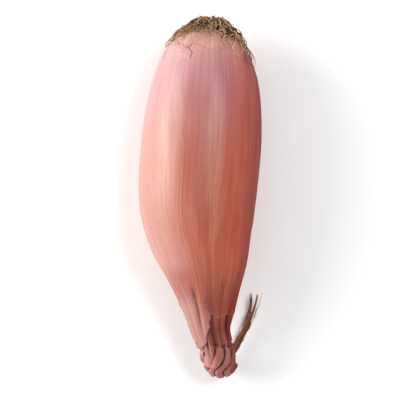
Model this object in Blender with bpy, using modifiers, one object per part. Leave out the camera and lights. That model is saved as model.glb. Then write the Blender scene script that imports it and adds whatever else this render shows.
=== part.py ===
# A long pink shallot lying on its side, with its root end towards +Y and its dry neck curled under at -Y.
# Metres, +Z up. The origin lies on the surface that the shallot rests on, under the middle of its box.
#
# The bulb is turned as a straight blank, gets its lobes and pleats pressed in by a formula, and is then
# bent along one smooth line that runs from the root face, down the body and round the curl of the neck.
# Roots and leaf strips are laid out in the same straight blank and bent along with it.

import bisect
import math
import random

import bmesh
import bpy
from mathutils import Vector
from mathutils.geometry import interpolate_bezier

MM = 0.001

# Body of the bulb
BELLY_RADIUS = 19.1 * MM      # half of the width at the widest place
BODY_LENGTH = 100.5 * MM      # root face to where the neck begins
BELLY_SHARE = 0.433           # how far along the body it is widest
NECK_RADIUS = 4.8 * MM
ROOT_SIDE = (2.6, 0.54)       # roundness of the half towards the roots
NECK_SIDE = (2.4, 1.6)        # the long taper towards the neck
BODY_HEIGHT = 0.925           # height of a section for its width

# Neck, which thins and flattens as it curls under
SHEATH_LENGTH = 121.0 * MM    # root face to the mouth of the dry sheath
MOUTH_RADIUS = 2.9 * MM
MOUTH_HEIGHT = 0.56
FLATTENS_FROM = 86.0 * MM
POCKET_RADIUS = 2.0 * MM      # the hole in the mouth, where the leaf strips come out
POCKET_DEPTH = 4.0 * MM

# Relief of the skin
PLEATS = 11
PLEAT_DEPTH = 0.55 * MM
PLEATS_FROM = 80.0 * MM
PLEAT_CROWDING = 1.1          # how far some pleats crowd together, in radians of their wave
PLEAT_TWIST = 30.0 * MM       # length over which the pleats turn by one radian of their wave
PLEAT_UNEVEN = 0.5            # the share of its depth that the shallowest pleat lacks
LOBES = ((2, 0.014, 0.5), (3, 0.010, 1.9))    # waves round the body, share of its radius, phase
LOBES_END = 0.75 * BODY_LENGTH

# Root face, with its shallow dimple and the basal plate that sits in it
DIMPLE_RADIUS = 4.9 * MM
DIMPLE_DEPTH = 1.1 * MM
RIM_WIDTH = 0.55 * MM         # the slope from the dimple out to the skin
PLATE_RADIUS = 4.9 * MM
PLATE_RISE = 2.0 * MM         # how far the plate stands out of the root face
PLATE_DOME = ((1.0, 0.0), (1.0, 0.35), (0.85, 0.72), (0.4, 0.95), (0.0, 1.0))   # shares of rise and radius
GAP = 0.3 * MM                # between one piece and its neighbour

# Roots: (how many, distance from the middle, shortest reach, longest reach, lift over the surface)
ROOT_RINGS = (
    (11, 1.8 * MM, 4.5 * MM, 10.0 * MM, 1.1 * MM),
    (27, 3.9 * MM, 4.5 * MM, 17.0 * MM, 0.8 * MM),
)
ROOT_THICKNESS = 0.9 * MM
ROOT_TIP_SHARE = 0.6
ROOT_POINTS = 8
ROOT_DEPTH = 1.0 * MM         # how deep a root is sunk into the plate
ROOT_SWAY = 0.22              # how far a root wanders round the bulb, in radians
ROOT_SEED = 1
DRAPE_FROM = 1.6 * MM         # where a root that leaves the plate meets the shoulder
DRAPE_TO = 30.0 * MM
DRAPE_STEP = 1.0 * MM

# Dry leaf strips that come out of the sheath
STRIP_LENGTH = 29.0 * MM
STRIP_WIDTH = 1.55 * MM       # half of the main strip's width at the mouth
STRIP_TIP = 0.55 * MM
STRIP_HEIGHT = 0.42
STRIP_LEAST = 0.34 * MM       # half of its thickness at the least
SIDE_STRIP_BEND = 1.4
# Strips that fray off it: (leaves it at, sideways, upwards, length, half width)
SIDE_STRIPS = (
    (7.0 * MM, 2.2 * MM, 0.4 * MM, 10.5 * MM, 0.75 * MM),
    (15.0 * MM, -2.6 * MM, 2.0 * MM, 12.0 * MM, 0.6 * MM),
)

# The line that the whole shallot follows: sideways, along and height from the root face's middle, in mm.
AXIS_POINTS = (
    (0.4, 0.0, 17.0),
    (-1.0, -11.0, 17.1),
    (-1.8, -23.0, 17.3),
    (-2.8, -37.0, 17.3),
    (-4.1, -53.0, 17.3),
    (-3.4, -64.5, 17.2),
    (-1.6, -76.0, 16.9),
    (-0.6, -88.5, 16.3),
    (0.1, -96.0, 15.7),
    (1.8, -102.0, 14.9),
    (2.8, -106.2, 13.6),
    (3.3, -109.4, 11.2),
    (3.7, -110.6, 8.1),
    (4.7, -109.5, 5.2),
    (6.6, -106.6, 3.4),
    (9.0, -102.4, 2.9),
    (11.4, -97.8, 3.0),
    (13.8, -92.8, 3.5),
    (15.4, -88.0, 4.4),
    (16.2, -83.4, 5.8),
)
AXIS_STEPS = 16
HEADING_REACH = 1.2 * MM      # how far on each side of a point its heading is read

FLAT_SPOT_DEPTH = 0.6 * MM    # how much of the belly the resting spot takes off

# How finely the pieces are made
SIDES = 60
BODY_RINGS = 30
RING_CROWDING = 1.35          # over 1, the rings crowd towards the roots
SHEATH_RINGS = 12
PLATE_SIDES = 24
STRIP_SIDES = 12
STRIP_RINGS = 14
SIDE_STRIP_POINTS = 7

COLOURS = {
    "bulb": ((0.60, 0.29, 0.23, 1.0), 0.42),
    "root_tuft": ((0.36, 0.25, 0.14, 1.0), 0.85),
    "leaf_strips": ((0.40, 0.27, 0.16, 1.0), 0.75),
}


def clear_scene():
    for obj in list(bpy.data.objects):
        bpy.data.objects.remove(obj, do_unlink=True)


def new_collection(name):
    collection = bpy.data.collections.new(name)
    bpy.context.scene.collection.children.link(collection)
    return collection


def smooth_step(low, high, value):
    share = min(1.0, max(0.0, (value - low) / (high - low)))
    return share * share * (3.0 - 2.0 * share)


class Path:
    """A line through points that is read by the distance along it."""

    def __init__(self, points):
        self.points = points
        self.distances = [0.0]
        for a, b in zip(points, points[1:]):
            self.distances.append(self.distances[-1] + (b - a).length)

    def at(self, distance):
        i = min(max(bisect.bisect_right(self.distances, distance) - 1, 0), len(self.points) - 2)
        share = (distance - self.distances[i]) / (self.distances[i + 1] - self.distances[i])
        return self.points[i].lerp(self.points[i + 1], share)

    def heading(self, distance):
        return (self.at(distance + HEADING_REACH) - self.at(distance - HEADING_REACH)).normalized()


def smooth_path(knots):
    """A path on a smooth curve through the knots."""
    before = [2 * knots[0] - knots[1]] + knots
    after = knots[1:] + [2 * knots[-1] - knots[-2]]
    slopes = [(b - a) / 6 for a, b in zip(before, after)]
    points = [knots[0]]
    for i in range(len(knots) - 1):
        first, second = knots[i] + slopes[i], knots[i + 1] - slopes[i + 1]
        points += interpolate_bezier(knots[i], first, second, knots[i + 1], AXIS_STEPS)[1:]
    return Path(points)


def place(axis, along, sideways, upwards):
    """The point that lies sideways and upwards of the axis, at a distance along it."""
    heading = axis.heading(along)
    side = Vector((1.0, 0.0, 0.0))
    side = (side - side.dot(heading) * heading).normalized()
    return axis.at(along) + side * sideways + heading.cross(side) * upwards


def outer_radius(along):
    """Half of the shallot's width at a distance from the root face."""
    share = along / BODY_LENGTH
    if share < BELLY_SHARE:
        a, b = ROOT_SIDE
        swell = (1 - max(0.0, 1 - max(share, 0.0) / BELLY_SHARE) ** a) ** b
    else:
        a, b = NECK_SIDE
        swell = max(0.0, 1 - min(1.0, (share - BELLY_SHARE) / (1 - BELLY_SHARE)) ** a) ** b
    narrow = NECK_RADIUS + (MOUTH_RADIUS - NECK_RADIUS) * smooth_step(BODY_LENGTH, SHEATH_LENGTH, along)
    return narrow + (BELLY_RADIUS - narrow) * swell


def height_share(along):
    flattened = smooth_step(FLATTENS_FROM, SHEATH_LENGTH, along)
    return BODY_HEIGHT + (MOUTH_HEIGHT - BODY_HEIGHT) * flattened


def pressed_radius(along, radius, angle):
    """A blank's radius once the lobes and the pleats of the dry neck are in its skin."""
    lobes = sum(size * math.cos(count * angle + phase) for count, size, phase in LOBES)
    lobes *= 1 - smooth_step(LOBES_END, BODY_LENGTH, along)
    outer = outer_radius(along)
    near_skin = smooth_step(0.8, 1.0, radius / outer)
    depth = PLEAT_DEPTH * smooth_step(PLEATS_FROM, BODY_LENGTH, along) * min(1.0, outer / NECK_RADIUS)
    wave = math.cos(PLEATS * angle + PLEAT_CROWDING * math.sin(2 * angle) + along / PLEAT_TWIST)
    depth *= 1 - PLEAT_UNEVEN * (0.5 - 0.5 * math.cos(3 * angle))
    return radius * (1 + lobes * near_skin) + depth * near_skin * wave


def skin_radius(along, angle):
    """How far the skin lies from the axis, roots end included."""
    along = max(along, 0.5 * MM)
    return pressed_radius(along, outer_radius(along), angle)


def turned_blank(name, profile, sides):
    """A closed solid turned round Z from (distance along, radius) points. Distance runs down from Z = 0."""
    mesh = bpy.data.meshes.new(name)
    points = [(radius, 0.0, -along) for along, radius in profile]
    mesh.from_pydata(points, [(i, i + 1) for i in range(len(points) - 1)], [])
    obj = bpy.data.objects.new(name, mesh)
    bpy.context.scene.collection.objects.link(obj)
    screw = obj.modifiers.new("Turn", "SCREW")
    screw.axis = "Z"
    screw.steps = sides
    screw.render_steps = sides
    screw.use_merge_vertices = True
    screw.merge_threshold = 0.01 * MM
    return as_mesh(obj)


def as_mesh(obj):
    """The same object with its modifiers or its curve turned into a plain mesh, closed at its caps."""
    name = obj.name
    graph = bpy.context.evaluated_depsgraph_get()
    mesh = bpy.data.meshes.new_from_object(obj.evaluated_get(graph), depsgraph=graph)
    mesh.name = name
    work = bmesh.new()
    work.from_mesh(mesh)
    bmesh.ops.remove_doubles(work, verts=work.verts, dist=0.001 * MM)
    work.to_mesh(mesh)
    work.free()
    made = bpy.data.objects.new(name, mesh)
    made.matrix_world = obj.matrix_world
    bpy.context.scene.collection.objects.link(made)
    bpy.data.objects.remove(obj, do_unlink=True)
    made.name = name
    return made


def bend(obj, axis, shape):
    """Moves each point of a straight blank to its place round the axis. shape gives its two radii."""
    for vertex in obj.data.vertices:
        along = -vertex.co.z
        radius = math.hypot(vertex.co.x, vertex.co.y)
        angle = math.atan2(-vertex.co.y, vertex.co.x)
        across, height = shape(along, radius, angle)
        vertex.co = place(axis, along, across * math.cos(angle), height * math.sin(angle))
    obj.data.update()


def body_profile():
    """(distance along, radius) points: the dimple, the body, the sheath, its mouth and the pocket in it."""
    profile = [(DIMPLE_DEPTH, 0.0), (DIMPLE_DEPTH, 0.5 * DIMPLE_RADIUS), (DIMPLE_DEPTH, DIMPLE_RADIUS)]
    profile.append((0.25 * DIMPLE_DEPTH, DIMPLE_RADIUS + RIM_WIDTH))
    first = 0.5 * RIM_WIDTH
    for i in range(BODY_RINGS):
        along = first + (BODY_LENGTH - first) * (i / BODY_RINGS) ** RING_CROWDING
        profile.append((along, outer_radius(along)))
    for i in range(SHEATH_RINGS + 1):
        along = BODY_LENGTH + (SHEATH_LENGTH - BODY_LENGTH) * i / SHEATH_RINGS
        profile.append((along, outer_radius(along)))
    profile.append((SHEATH_LENGTH, POCKET_RADIUS))
    profile.append((SHEATH_LENGTH - POCKET_DEPTH, POCKET_RADIUS))
    profile.append((SHEATH_LENGTH - POCKET_DEPTH, 0.0))
    return profile


def make_bulb(axis):
    bulb = turned_blank("bulb", body_profile(), SIDES)

    def shape(along, radius, angle):
        pressed = pressed_radius(along, radius, angle)
        return pressed, pressed * height_share(along)

    bend(bulb, axis, shape)
    return bulb


def cut_resting_spot(bulb):
    """Takes the lowest slice off the belly and returns the height of the flat spot that is left."""
    neck_side = -0.8 * BODY_LENGTH
    floor = min(v.co.z for v in bulb.data.vertices if v.co.y > neck_side) + FLAT_SPOT_DEPTH
    work = bmesh.new()
    work.from_mesh(bulb.data)
    belly = [f for f in work.faces if f.calc_center_median().y > neck_side]
    geometry = belly + list({e for f in belly for e in f.edges}) + list({v for f in belly for v in f.verts})
    bmesh.ops.bisect_plane(
        work, geom=geometry, dist=0.001 * MM, plane_co=(0, 0, floor), plane_no=(0, 0, 1), clear_inner=True
    )
    bmesh.ops.holes_fill(work, edges=[e for e in work.edges if e.is_boundary], sides=0)
    work.to_mesh(bulb.data)
    work.free()
    return floor


def make_plate(axis):
    """The corky basal plate, seated in the dimple of the root face."""
    seat = DIMPLE_DEPTH - GAP
    profile = [(-rise * PLATE_RISE, share * PLATE_RADIUS) for rise, share in PLATE_DOME]
    profile += [(seat, DIMPLE_RADIUS - GAP), (seat, 0.0)]
    plate = turned_blank("root_tuft", profile, PLATE_SIDES)
    bend(plate, axis, lambda along, radius, angle: (radius, radius * BODY_HEIGHT))
    return plate


def root_drape():
    """The line that roots follow, as (distance along, radius): out over the plate and down the shoulder."""
    points = [Vector((-PLATE_RISE, 0.0)), Vector((-PLATE_RISE, 0.9 * PLATE_RADIUS))]
    along = DRAPE_FROM
    while along < DRAPE_TO:
        points.append(Vector((along, outer_radius(along))))
        along += DRAPE_STEP
    return Path(points)


def root_route(axis, drape, angle, start, reach, lift, draw):
    """Points of one dry root: up out of the plate, over its rim and back along the shoulder of the bulb."""
    clear = 0.5 * ROOT_THICKNESS + 1.5 * GAP
    drift = ROOT_SWAY * draw.uniform(-1, 1)
    curl = draw.uniform(1.5, 3.2)
    phase = draw.uniform(0, 2 * math.pi)
    points = []
    for i in range(ROOT_POINTS):
        share = max(0, i - 1) / (ROOT_POINTS - 2)
        travel = start + reach * share
        base = drape.at(travel)
        heading = drape.heading(travel)
        height = clear + lift * (0.5 + 0.5 * math.sin(2 * curl * math.pi * share + phase))
        if i == 0:
            height = -ROOT_DEPTH
        along = base.x - heading.y * height
        turn = angle + drift * share + 0.5 * ROOT_SWAY * share * math.sin(curl * math.pi * share + phase)
        radius = base.y + heading.x * height
        if along > 0:
            radius = max(radius, skin_radius(along, turn) + clear)
        points.append(place(axis, along, radius * math.cos(turn), radius * BODY_HEIGHT * math.sin(turn)))
    return points


def tube(name, route, radii, collection):
    """A thin four-sided tube through a few points, closed at both ends."""
    curve = bpy.data.curves.new(name, "CURVE")
    curve.dimensions = "3D"
    curve.bevel_depth = 1.0
    curve.bevel_resolution = 0
    curve.use_fill_caps = True
    spline = curve.splines.new("POLY")
    spline.points.add(len(route) - 1)
    for point, place, radius in zip(spline.points, route, radii):
        point.co = (*place, 1.0)
        point.radius = radius
    obj = bpy.data.objects.new(name, curve)
    bpy.context.scene.collection.objects.link(obj)
    obj = as_mesh(obj)
    bpy.context.scene.collection.objects.unlink(obj)
    collection.objects.link(obj)
    return obj


def fuse(base, collection):
    """Joins everything in the collection to base as one solid, and removes the collection."""
    union = base.modifiers.new("Fuse", "BOOLEAN")
    union.operation = "UNION"
    union.operand_type = "COLLECTION"
    union.collection = collection
    union.solver = "EXACT"
    fused = as_mesh(base)
    for obj in list(collection.objects):
        bpy.data.objects.remove(obj, do_unlink=True)
    bpy.data.collections.remove(collection)
    drop_scraps(fused)
    return fused


def drop_scraps(obj):
    """Keeps only a mesh's largest skin, in triangles, so scraps go and sealed hollows are filled."""
    work = bmesh.new()
    work.from_mesh(obj.data)
    left = set(work.faces)
    skins = []
    while left:
        skin, front = set(), [left.pop()]
        while front:
            face = front.pop()
            skin.add(face)
            near = {other for edge in face.edges for other in edge.link_faces if other in left}
            left -= near
            front += near
        skins.append(skin)
    largest = max(skins, key=len)
    bmesh.ops.delete(work, geom=[f for skin in skins if skin is not largest for f in skin], context="FACES")
    bmesh.ops.delete(work, geom=[v for v in work.verts if not v.link_faces], context="VERTS")
    bmesh.ops.triangulate(work, faces=work.faces)
    work.to_mesh(obj.data)
    work.free()


def make_root_tuft(axis):
    plate = make_plate(axis)
    roots = new_collection("roots to fuse")
    drape = root_drape()
    draw = random.Random(ROOT_SEED)
    last = ROOT_POINTS - 1
    radii = [ROOT_THICKNESS / 2 * (1 - (1 - ROOT_TIP_SHARE) * i / last) for i in range(ROOT_POINTS)]
    for count, start, shortest, longest, lift in ROOT_RINGS:
        for i in range(count):
            angle = 2 * math.pi * (i + draw.uniform(-0.45, 0.45)) / count
            # They were pressed down to the left and right, so they reach furthest there
            sideways = abs(math.cos(angle)) ** 1.2 * draw.uniform(0.5, 1)
            reach = shortest + (longest - shortest) * (0.3 * draw.random() + 0.7 * sideways)
            tube("root", root_route(axis, drape, angle, start, reach, lift, draw), radii, roots)
    return fuse(plate, roots)


def strip_radius(travel):
    return STRIP_WIDTH + (STRIP_TIP - STRIP_WIDTH) * (travel / STRIP_LENGTH) ** 0.8


def make_leaf_strips(axis):
    """The dry leaf ends: a main strip out of the pocket of the sheath, and two that fray off it."""
    start = SHEATH_LENGTH - POCKET_DEPTH + GAP
    profile = [(start, 0.0)]
    for i in range(STRIP_RINGS + 1):
        travel = STRIP_LENGTH * i / STRIP_RINGS
        profile.append((start + travel, strip_radius(travel)))
    profile.append((start + STRIP_LENGTH, 0.0))
    strip = turned_blank("leaf_strips", profile, STRIP_SIDES)

    def shape(along, radius, angle):
        return radius, max(radius * STRIP_HEIGHT, min(radius, STRIP_LEAST))

    bend(strip, axis, shape)
    side_strips = new_collection("strips to fuse")
    for leaves_at, sideways, upwards, length, width in SIDE_STRIPS:
        shares = [i / (SIDE_STRIP_POINTS - 1) for i in range(SIDE_STRIP_POINTS)]
        route = []
        for share in shares:
            away = share ** SIDE_STRIP_BEND
            route.append(place(axis, start + leaves_at + length * share, sideways * away, upwards * away))
        tube("side strip", route, [width * (1 - 0.5 * share) for share in shares], side_strips)
    return fuse(strip, side_strips)


def material(name):
    colour, roughness = COLOURS[name]
    made = bpy.data.materials.new(name)
    made.use_nodes = True
    shader = made.node_tree.nodes["Principled BSDF"]
    shader.inputs["Base Color"].default_value = colour
    shader.inputs["Roughness"].default_value = roughness
    shader.inputs["Metallic"].default_value = 0.0
    return made


def finish(obj, collection, holder):
    bpy.context.scene.collection.objects.unlink(obj)
    collection.objects.link(obj)
    obj.parent = holder
    obj.data.materials.clear()
    obj.data.materials.append(material(obj.name))
    obj.data.shade_smooth()
    obj.data.set_sharp_from_angle(angle=math.radians(40))


def main():
    clear_scene()
    shallot = new_collection("shallot")
    holder = bpy.data.objects.new("shallot", None)
    shallot.objects.link(holder)
    axis = smooth_path([Vector(point) * MM for point in AXIS_POINTS])
    bulb = make_bulb(axis)
    floor = cut_resting_spot(bulb)
    pieces = [bulb, make_root_tuft(axis), make_leaf_strips(axis)]
    for piece in pieces:
        finish(piece, shallot, holder)
    corners = [vertex.co for piece in pieces for vertex in piece.data.vertices]
    middle = [(min(c[i] for c in corners) + max(c[i] for c in corners)) / 2 for i in (0, 1)]
    holder.location = (-middle[0], -middle[1], -floor)


main()
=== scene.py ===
# Looks of a long pink shallot that lies on its side: papery skin, pleated dry neck, frayed leaf ends and
# roots. Each piece is laid out straight, in mm from the root face, and a node group bends it along the
# shallot's own line. The finished pieces are in metres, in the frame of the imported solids.

import math
import random

import bmesh
import bpy
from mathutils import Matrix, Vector
from mathutils.geometry import interpolate_bezier


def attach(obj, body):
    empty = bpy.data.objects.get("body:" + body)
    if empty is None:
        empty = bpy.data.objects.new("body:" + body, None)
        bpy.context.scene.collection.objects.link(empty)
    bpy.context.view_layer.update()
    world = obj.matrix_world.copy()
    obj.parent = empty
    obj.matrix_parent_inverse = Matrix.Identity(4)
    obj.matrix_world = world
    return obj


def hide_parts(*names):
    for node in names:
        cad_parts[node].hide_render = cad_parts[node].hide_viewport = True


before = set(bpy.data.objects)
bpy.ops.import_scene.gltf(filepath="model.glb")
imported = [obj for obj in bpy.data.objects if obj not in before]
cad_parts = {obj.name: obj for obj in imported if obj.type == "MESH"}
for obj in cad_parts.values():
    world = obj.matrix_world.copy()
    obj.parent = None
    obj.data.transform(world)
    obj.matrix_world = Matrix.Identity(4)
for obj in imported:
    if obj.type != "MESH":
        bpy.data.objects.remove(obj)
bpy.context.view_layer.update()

mm = 0.001
tiny = 1e-7
halves = (0.5, 0.5, 0.5)  # the middle of a noise's colour
fullTurn = 2 * math.pi

# The line from the root face down the body and round the curl of the neck, and the frame's shift, in mm
shallotLine = {
    "shift": (3.3094, 54.0118, -0.6211),
    "knots": (
        (0.4, 0.0, 17.0),
        (-1.0, -11.0, 17.1),
        (-1.8, -23.0, 17.3),
        (-2.8, -37.0, 17.3),
        (-4.1, -53.0, 17.3),
        (-3.4, -64.5, 17.2),
        (-1.6, -76.0, 16.9),
        (-0.6, -88.5, 16.3),
        (0.1, -96.0, 15.7),
        (1.8, -102.0, 14.9),
        (2.8, -106.2, 13.6),
        (3.3, -109.4, 11.2),
        (3.7, -110.6, 8.1),
        (4.7, -109.5, 5.2),
        (6.6, -106.6, 3.4),
        (9.0, -102.4, 2.9),
        (11.4, -97.8, 3.0),
        (13.8, -92.8, 3.5),
        (15.4, -88.0, 4.4),
        (16.2, -83.4, 5.8),
    ),
    "steps": 16,
    "lead": 15.0,
}

# The rule of the body's form, in mm, as the solids follow it
form = {
    "bellyRadius": 19.1,
    "length": 100.5,
    "bellyShare": 0.433,
    "neckRadius": 4.8,
    "rootSide": (2.6, 0.54),
    "neckSide": (2.4, 1.6),
    "height": 0.925,
    "sheathLength": 121.0,
    "mouthRadius": 2.9,
    "mouthHeight": 0.56,
    "flattensFrom": 86.0,
}


class Wire:
    # a node's output that takes part in sums

    def __init__(self, net, socket):
        self.net = net
        self.socket = socket

    def out(self, name):
        return Wire(self.net, self.socket.node.outputs[name])

    def math(self, operation, *others):
        return self.net.add("ShaderNodeMath", (self, *others), operation=operation)

    def __add__(self, other):
        return self.math("ADD", other)

    def __sub__(self, other):
        return self.math("SUBTRACT", other)

    def __rsub__(self, other):
        return self.net.add("ShaderNodeMath", (other, self), operation="SUBTRACT")

    def __mul__(self, other):
        return self.math("MULTIPLY", other)

    def __truediv__(self, other):
        return self.math("DIVIDE", other)

    def __rtruediv__(self, other):
        return self.net.add("ShaderNodeMath", (other, self), operation="DIVIDE")

    def __pow__(self, other):
        return self.math("POWER", other)

    __radd__ = __add__
    __rmul__ = __mul__

    def smooth(self, low, high):
        values = {"Value": self, "From Min": low, "From Max": high}
        return self.net.add("ShaderNodeMapRange", values, interpolation_type="SMOOTHSTEP")


class Net:
    # a node tree that is filled from Python

    def __init__(self, tree):
        self.tree = tree

    def add(self, kind, values=(), out=0, **settings):
        node = self.tree.nodes.new(kind)
        for name, value in settings.items():
            if name == "stops":
                self.fillRamp(node.color_ramp, value)
            else:
                setattr(node, name, value)
        pairs = values.items() if isinstance(values, dict) else enumerate(values)
        for key, value in pairs:
            if isinstance(value, Wire):
                self.tree.links.new(value.socket, node.inputs[key])
            else:
                node.inputs[key].default_value = value
        return Wire(self, node.outputs[out])

    def fillRamp(self, ramp, stops):
        while len(ramp.elements) < len(stops):
            ramp.elements.new(1.0)
        for element, (place, colour) in zip(ramp.elements, stops):
            element.position = place
            element.color = colour

    def vector(self, x, y, z):
        return self.add("ShaderNodeCombineXYZ", (x, y, z))

    def split(self, vector):
        parts = self.add("ShaderNodeSeparateXYZ", (vector,))
        return parts, parts.out("Y"), parts.out("Z")

    def vectors(self, operation, *values, out=0):
        return self.add("ShaderNodeVectorMath", values, out, operation=operation)

    def scale(self, vector, factor):
        return self.add("ShaderNodeVectorMath", {0: vector, "Scale": factor}, operation="SCALE")

    def noise(self, vector, detail=2.0, roughness=0.5, out=0):
        values = {"Vector": vector, "Scale": 1.0, "Detail": detail, "Roughness": roughness}
        return self.add("ShaderNodeTexNoise", values, out)

    def mix(self, factor, first, second):
        # sockets 0, 6, 7 and output 2 are the colour ones
        return self.add("ShaderNodeMix", {0: factor, 6: first, 7: second}, 2, data_type="RGBA")

    def ramp(self, stops, value):
        return self.add("ShaderNodeValToRGB", (value,), stops=stops)

    def position(self):
        return self.add("GeometryNodeInputPosition")

    def attribute(self, name, out="Fac"):
        return self.add("ShaderNodeAttribute", (), out, attribute_name=name)


def srgb(red, green, blue):
    # from a colour picker's 0 to 255 to linear
    shares = [channel / 255 for channel in (red, green, blue)]
    linear = [s / 12.92 if s <= 0.04045 else ((s + 0.055) / 1.055) ** 2.4 for s in shares]
    return (*linear, 1.0)


def smoothStep(low, high, value):
    share = min(1.0, max(0.0, (value - low) / (high - low)))
    return share * share * (3.0 - 2.0 * share)


# The form's rule, in mm

def outerRadius(along):
    share = along / form["length"]
    if share < form["bellyShare"]:
        a, b = form["rootSide"]
        swell = (1 - max(0.0, 1 - max(share, 0.0) / form["bellyShare"]) ** a) ** b
    else:
        a, b = form["neckSide"]
        past = min(1.0, (share - form["bellyShare"]) / (1 - form["bellyShare"]))
        swell = max(0.0, 1 - past ** a) ** b
    narrowed = smoothStep(form["length"], form["sheathLength"], along)
    narrow = form["neckRadius"] + (form["mouthRadius"] - form["neckRadius"]) * narrowed
    return narrow + (form["bellyRadius"] - narrow) * swell


def heightShare(along):
    flattened = smoothStep(form["flattensFrom"], form["sheathLength"], along)
    return form["height"] + (form["mouthHeight"] - form["height"]) * flattened


# Objects and node trees

def meshObject(name, points, edges=(), faces=()):
    mesh = bpy.data.meshes.new(name)
    mesh.from_pydata([tuple(point) for point in points], list(edges), list(faces))
    obj = bpy.data.objects.new(name, mesh)
    bpy.context.scene.collection.objects.link(obj)
    return obj


def chainObject(name, chains, **numbers):
    # one mesh of open chains of points, with the numbers that each point carries
    points, edges = [], []
    for chain in chains:
        first = len(points)
        points += chain
        edges += [(first + i, first + i + 1) for i in range(len(chain) - 1)]
    obj = meshObject(name, points, edges)
    for title, values in numbers.items():
        layer = obj.data.attributes.new(title, "FLOAT", "POINT")
        layer.data.foreach_set("value", values)
    return obj


def discard(*objects):
    for obj in objects:
        bpy.data.objects.remove(obj, do_unlink=True)


def newTree(name, objects, counts=(), sizes=(), makes="Geometry"):
    # a node group with named inputs, a material among them where it makes a mesh
    tree = bpy.data.node_groups.new(name, "GeometryNodeTree")
    kinds = {"Object": objects, "Int": counts, "Float": sizes}
    if makes == "Geometry":
        kinds["Material"] = ("Material",)
    for kind, titles in kinds.items():
        for title in titles:
            tree.interface.new_socket(name=title, in_out="INPUT", socket_type="NodeSocket" + kind)
    tree.interface.new_socket(name=makes, in_out="OUTPUT", socket_type="NodeSocket" + makes)
    net = Net(tree)
    start = net.add("NodeGroupInput")
    return net, {title: start.out(title) for titles in kinds.values() for title in titles}


def endTree(net, value):
    end = net.tree.nodes.new("NodeGroupOutput")
    net.tree.links.new(value.socket, end.inputs[0])
    return net.tree


def shapeOf(net, obj):
    # a helper object's mesh, where it lies
    return net.add("GeometryNodeObjectInfo", {"Object": obj}, "Geometry", transform_space="ORIGINAL")


def curveOf(net, obj):
    return net.add("GeometryNodeMeshToCurve", {"Mesh": shapeOf(net, obj)})


def named(net, name, kind="FLOAT"):
    return net.add("GeometryNodeInputNamedAttribute", {"Name": name}, data_type=kind)


def lookUp(net, shape, value, index, kind="FLOAT_VECTOR"):
    values = {"Geometry": shape, "Value": value, "Index": index}
    return net.add("GeometryNodeSampleIndex", values, data_type=kind, domain="POINT")


def unitGrid(net, columns, rows):
    values = {"Size X": 1.0, "Size Y": 1.0, "Vertices X": columns, "Vertices Y": rows}
    return net.add("GeometryNodeMeshGrid", values, "Mesh")


def moveTo(net, geometry, place):
    return net.add("GeometryNodeSetPosition", {"Geometry": geometry, "Position": place})


def endMesh(net, given, geometry):
    shaded = net.add("GeometryNodeSetShadeSmooth", {"Geometry": geometry})
    real = net.add("GeometryNodeRealizeInstances", {"Geometry": shaded})
    values = {"Geometry": real, "Material": given["Material"]}
    return endTree(net, net.add("GeometryNodeSetMaterial", values))


def runTree(name, tree, values, merge=0.0):
    # what the tree makes, as a plain mesh at the origin
    carrier = meshObject(name + " carrier", [(0.0, 0.0, 0.0)])
    modifier = carrier.modifiers.new("shape", "NODES")
    modifier.node_group = tree
    for item in tree.interface.items_tree:
        if item.in_out == "INPUT" and item.name in values:
            modifier[item.identifier] = values[item.name]
    graph = bpy.context.evaluated_depsgraph_get()
    mesh = bpy.data.meshes.new_from_object(
        carrier.evaluated_get(graph), preserve_all_data_layers=True, depsgraph=graph
    )
    discard(carrier)
    work = bmesh.new()
    work.from_mesh(mesh)
    if merge:
        bmesh.ops.remove_doubles(work, verts=work.verts, dist=merge)
    bmesh.ops.dissolve_degenerate(work, dist=tiny, edges=work.edges)
    bmesh.ops.recalc_face_normals(work, faces=work.faces)
    work.to_mesh(mesh)
    work.free()
    mesh.name = name
    made = bpy.data.objects.new(name, mesh)
    bpy.context.scene.collection.objects.link(made)
    triangles = sum(len(face.vertices) - 2 for face in mesh.polygons)
    print(name, len(mesh.vertices), "points", triangles, "triangles")
    return made


def makeLine():
    knots = [(Vector(knot) + Vector(shallotLine["shift"])) * mm for knot in shallotLine["knots"]]
    before = [2 * knots[0] - knots[1]] + knots
    after = knots[1:] + [2 * knots[-1] - knots[-2]]
    slopes = [(b - a) / 6 for a, b in zip(before, after)]
    points = [knots[0]]
    for i in range(len(knots) - 1):
        first, second = knots[i] + slopes[i], knots[i + 1] - slopes[i + 1]
        points += interpolate_bezier(knots[i], first, second, knots[i + 1], shallotLine["steps"])[1:]
    lead = shallotLine["lead"] * mm
    points.insert(0, points[0] + lead * (points[0] - points[1]).normalized())
    points.append(points[-1] + lead * (points[-1] - points[-2]).normalized())
    return chainObject("shallot line", [points])


def makeBendTree():
    # Where a point of a straight piece lies once it is bent. Distances in mm
    net, given = newTree("bend", ("Line",), (), ("Along", "Across", "Up"), "Vector")
    reached = (given["Along"] + shallotLine["lead"]) * mm
    values = {"Curves": curveOf(net, given["Line"]), "Length": reached}
    sample = net.add("GeometryNodeSampleCurve", values, "Position", mode="LENGTH")
    heading = net.vectors("NORMALIZE", sample.out("Tangent"))
    sideways = (1.0, 0.0, 0.0)
    lean = net.vectors("DOT_PRODUCT", sideways, heading, out="Value")
    side = net.vectors("NORMALIZE", net.vectors("SUBTRACT", sideways, net.scale(heading, lean)))
    up = net.vectors("CROSS_PRODUCT", heading, side)
    place = net.vectors("ADD", sample, net.scale(side, given["Across"] * mm))
    place = net.vectors("ADD", place, net.scale(up, given["Up"] * mm))
    return endTree(net, place)


def bent(net, line, along, across, up):
    # the bent place, never below the surface that it rests on
    place = net.add("GeometryNodeGroup", (line, along, across, up), node_tree=bendTree)
    x, y, z = net.split(place)
    return net.vector(x, y, z.math("MAXIMUM", 0.0))


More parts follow.
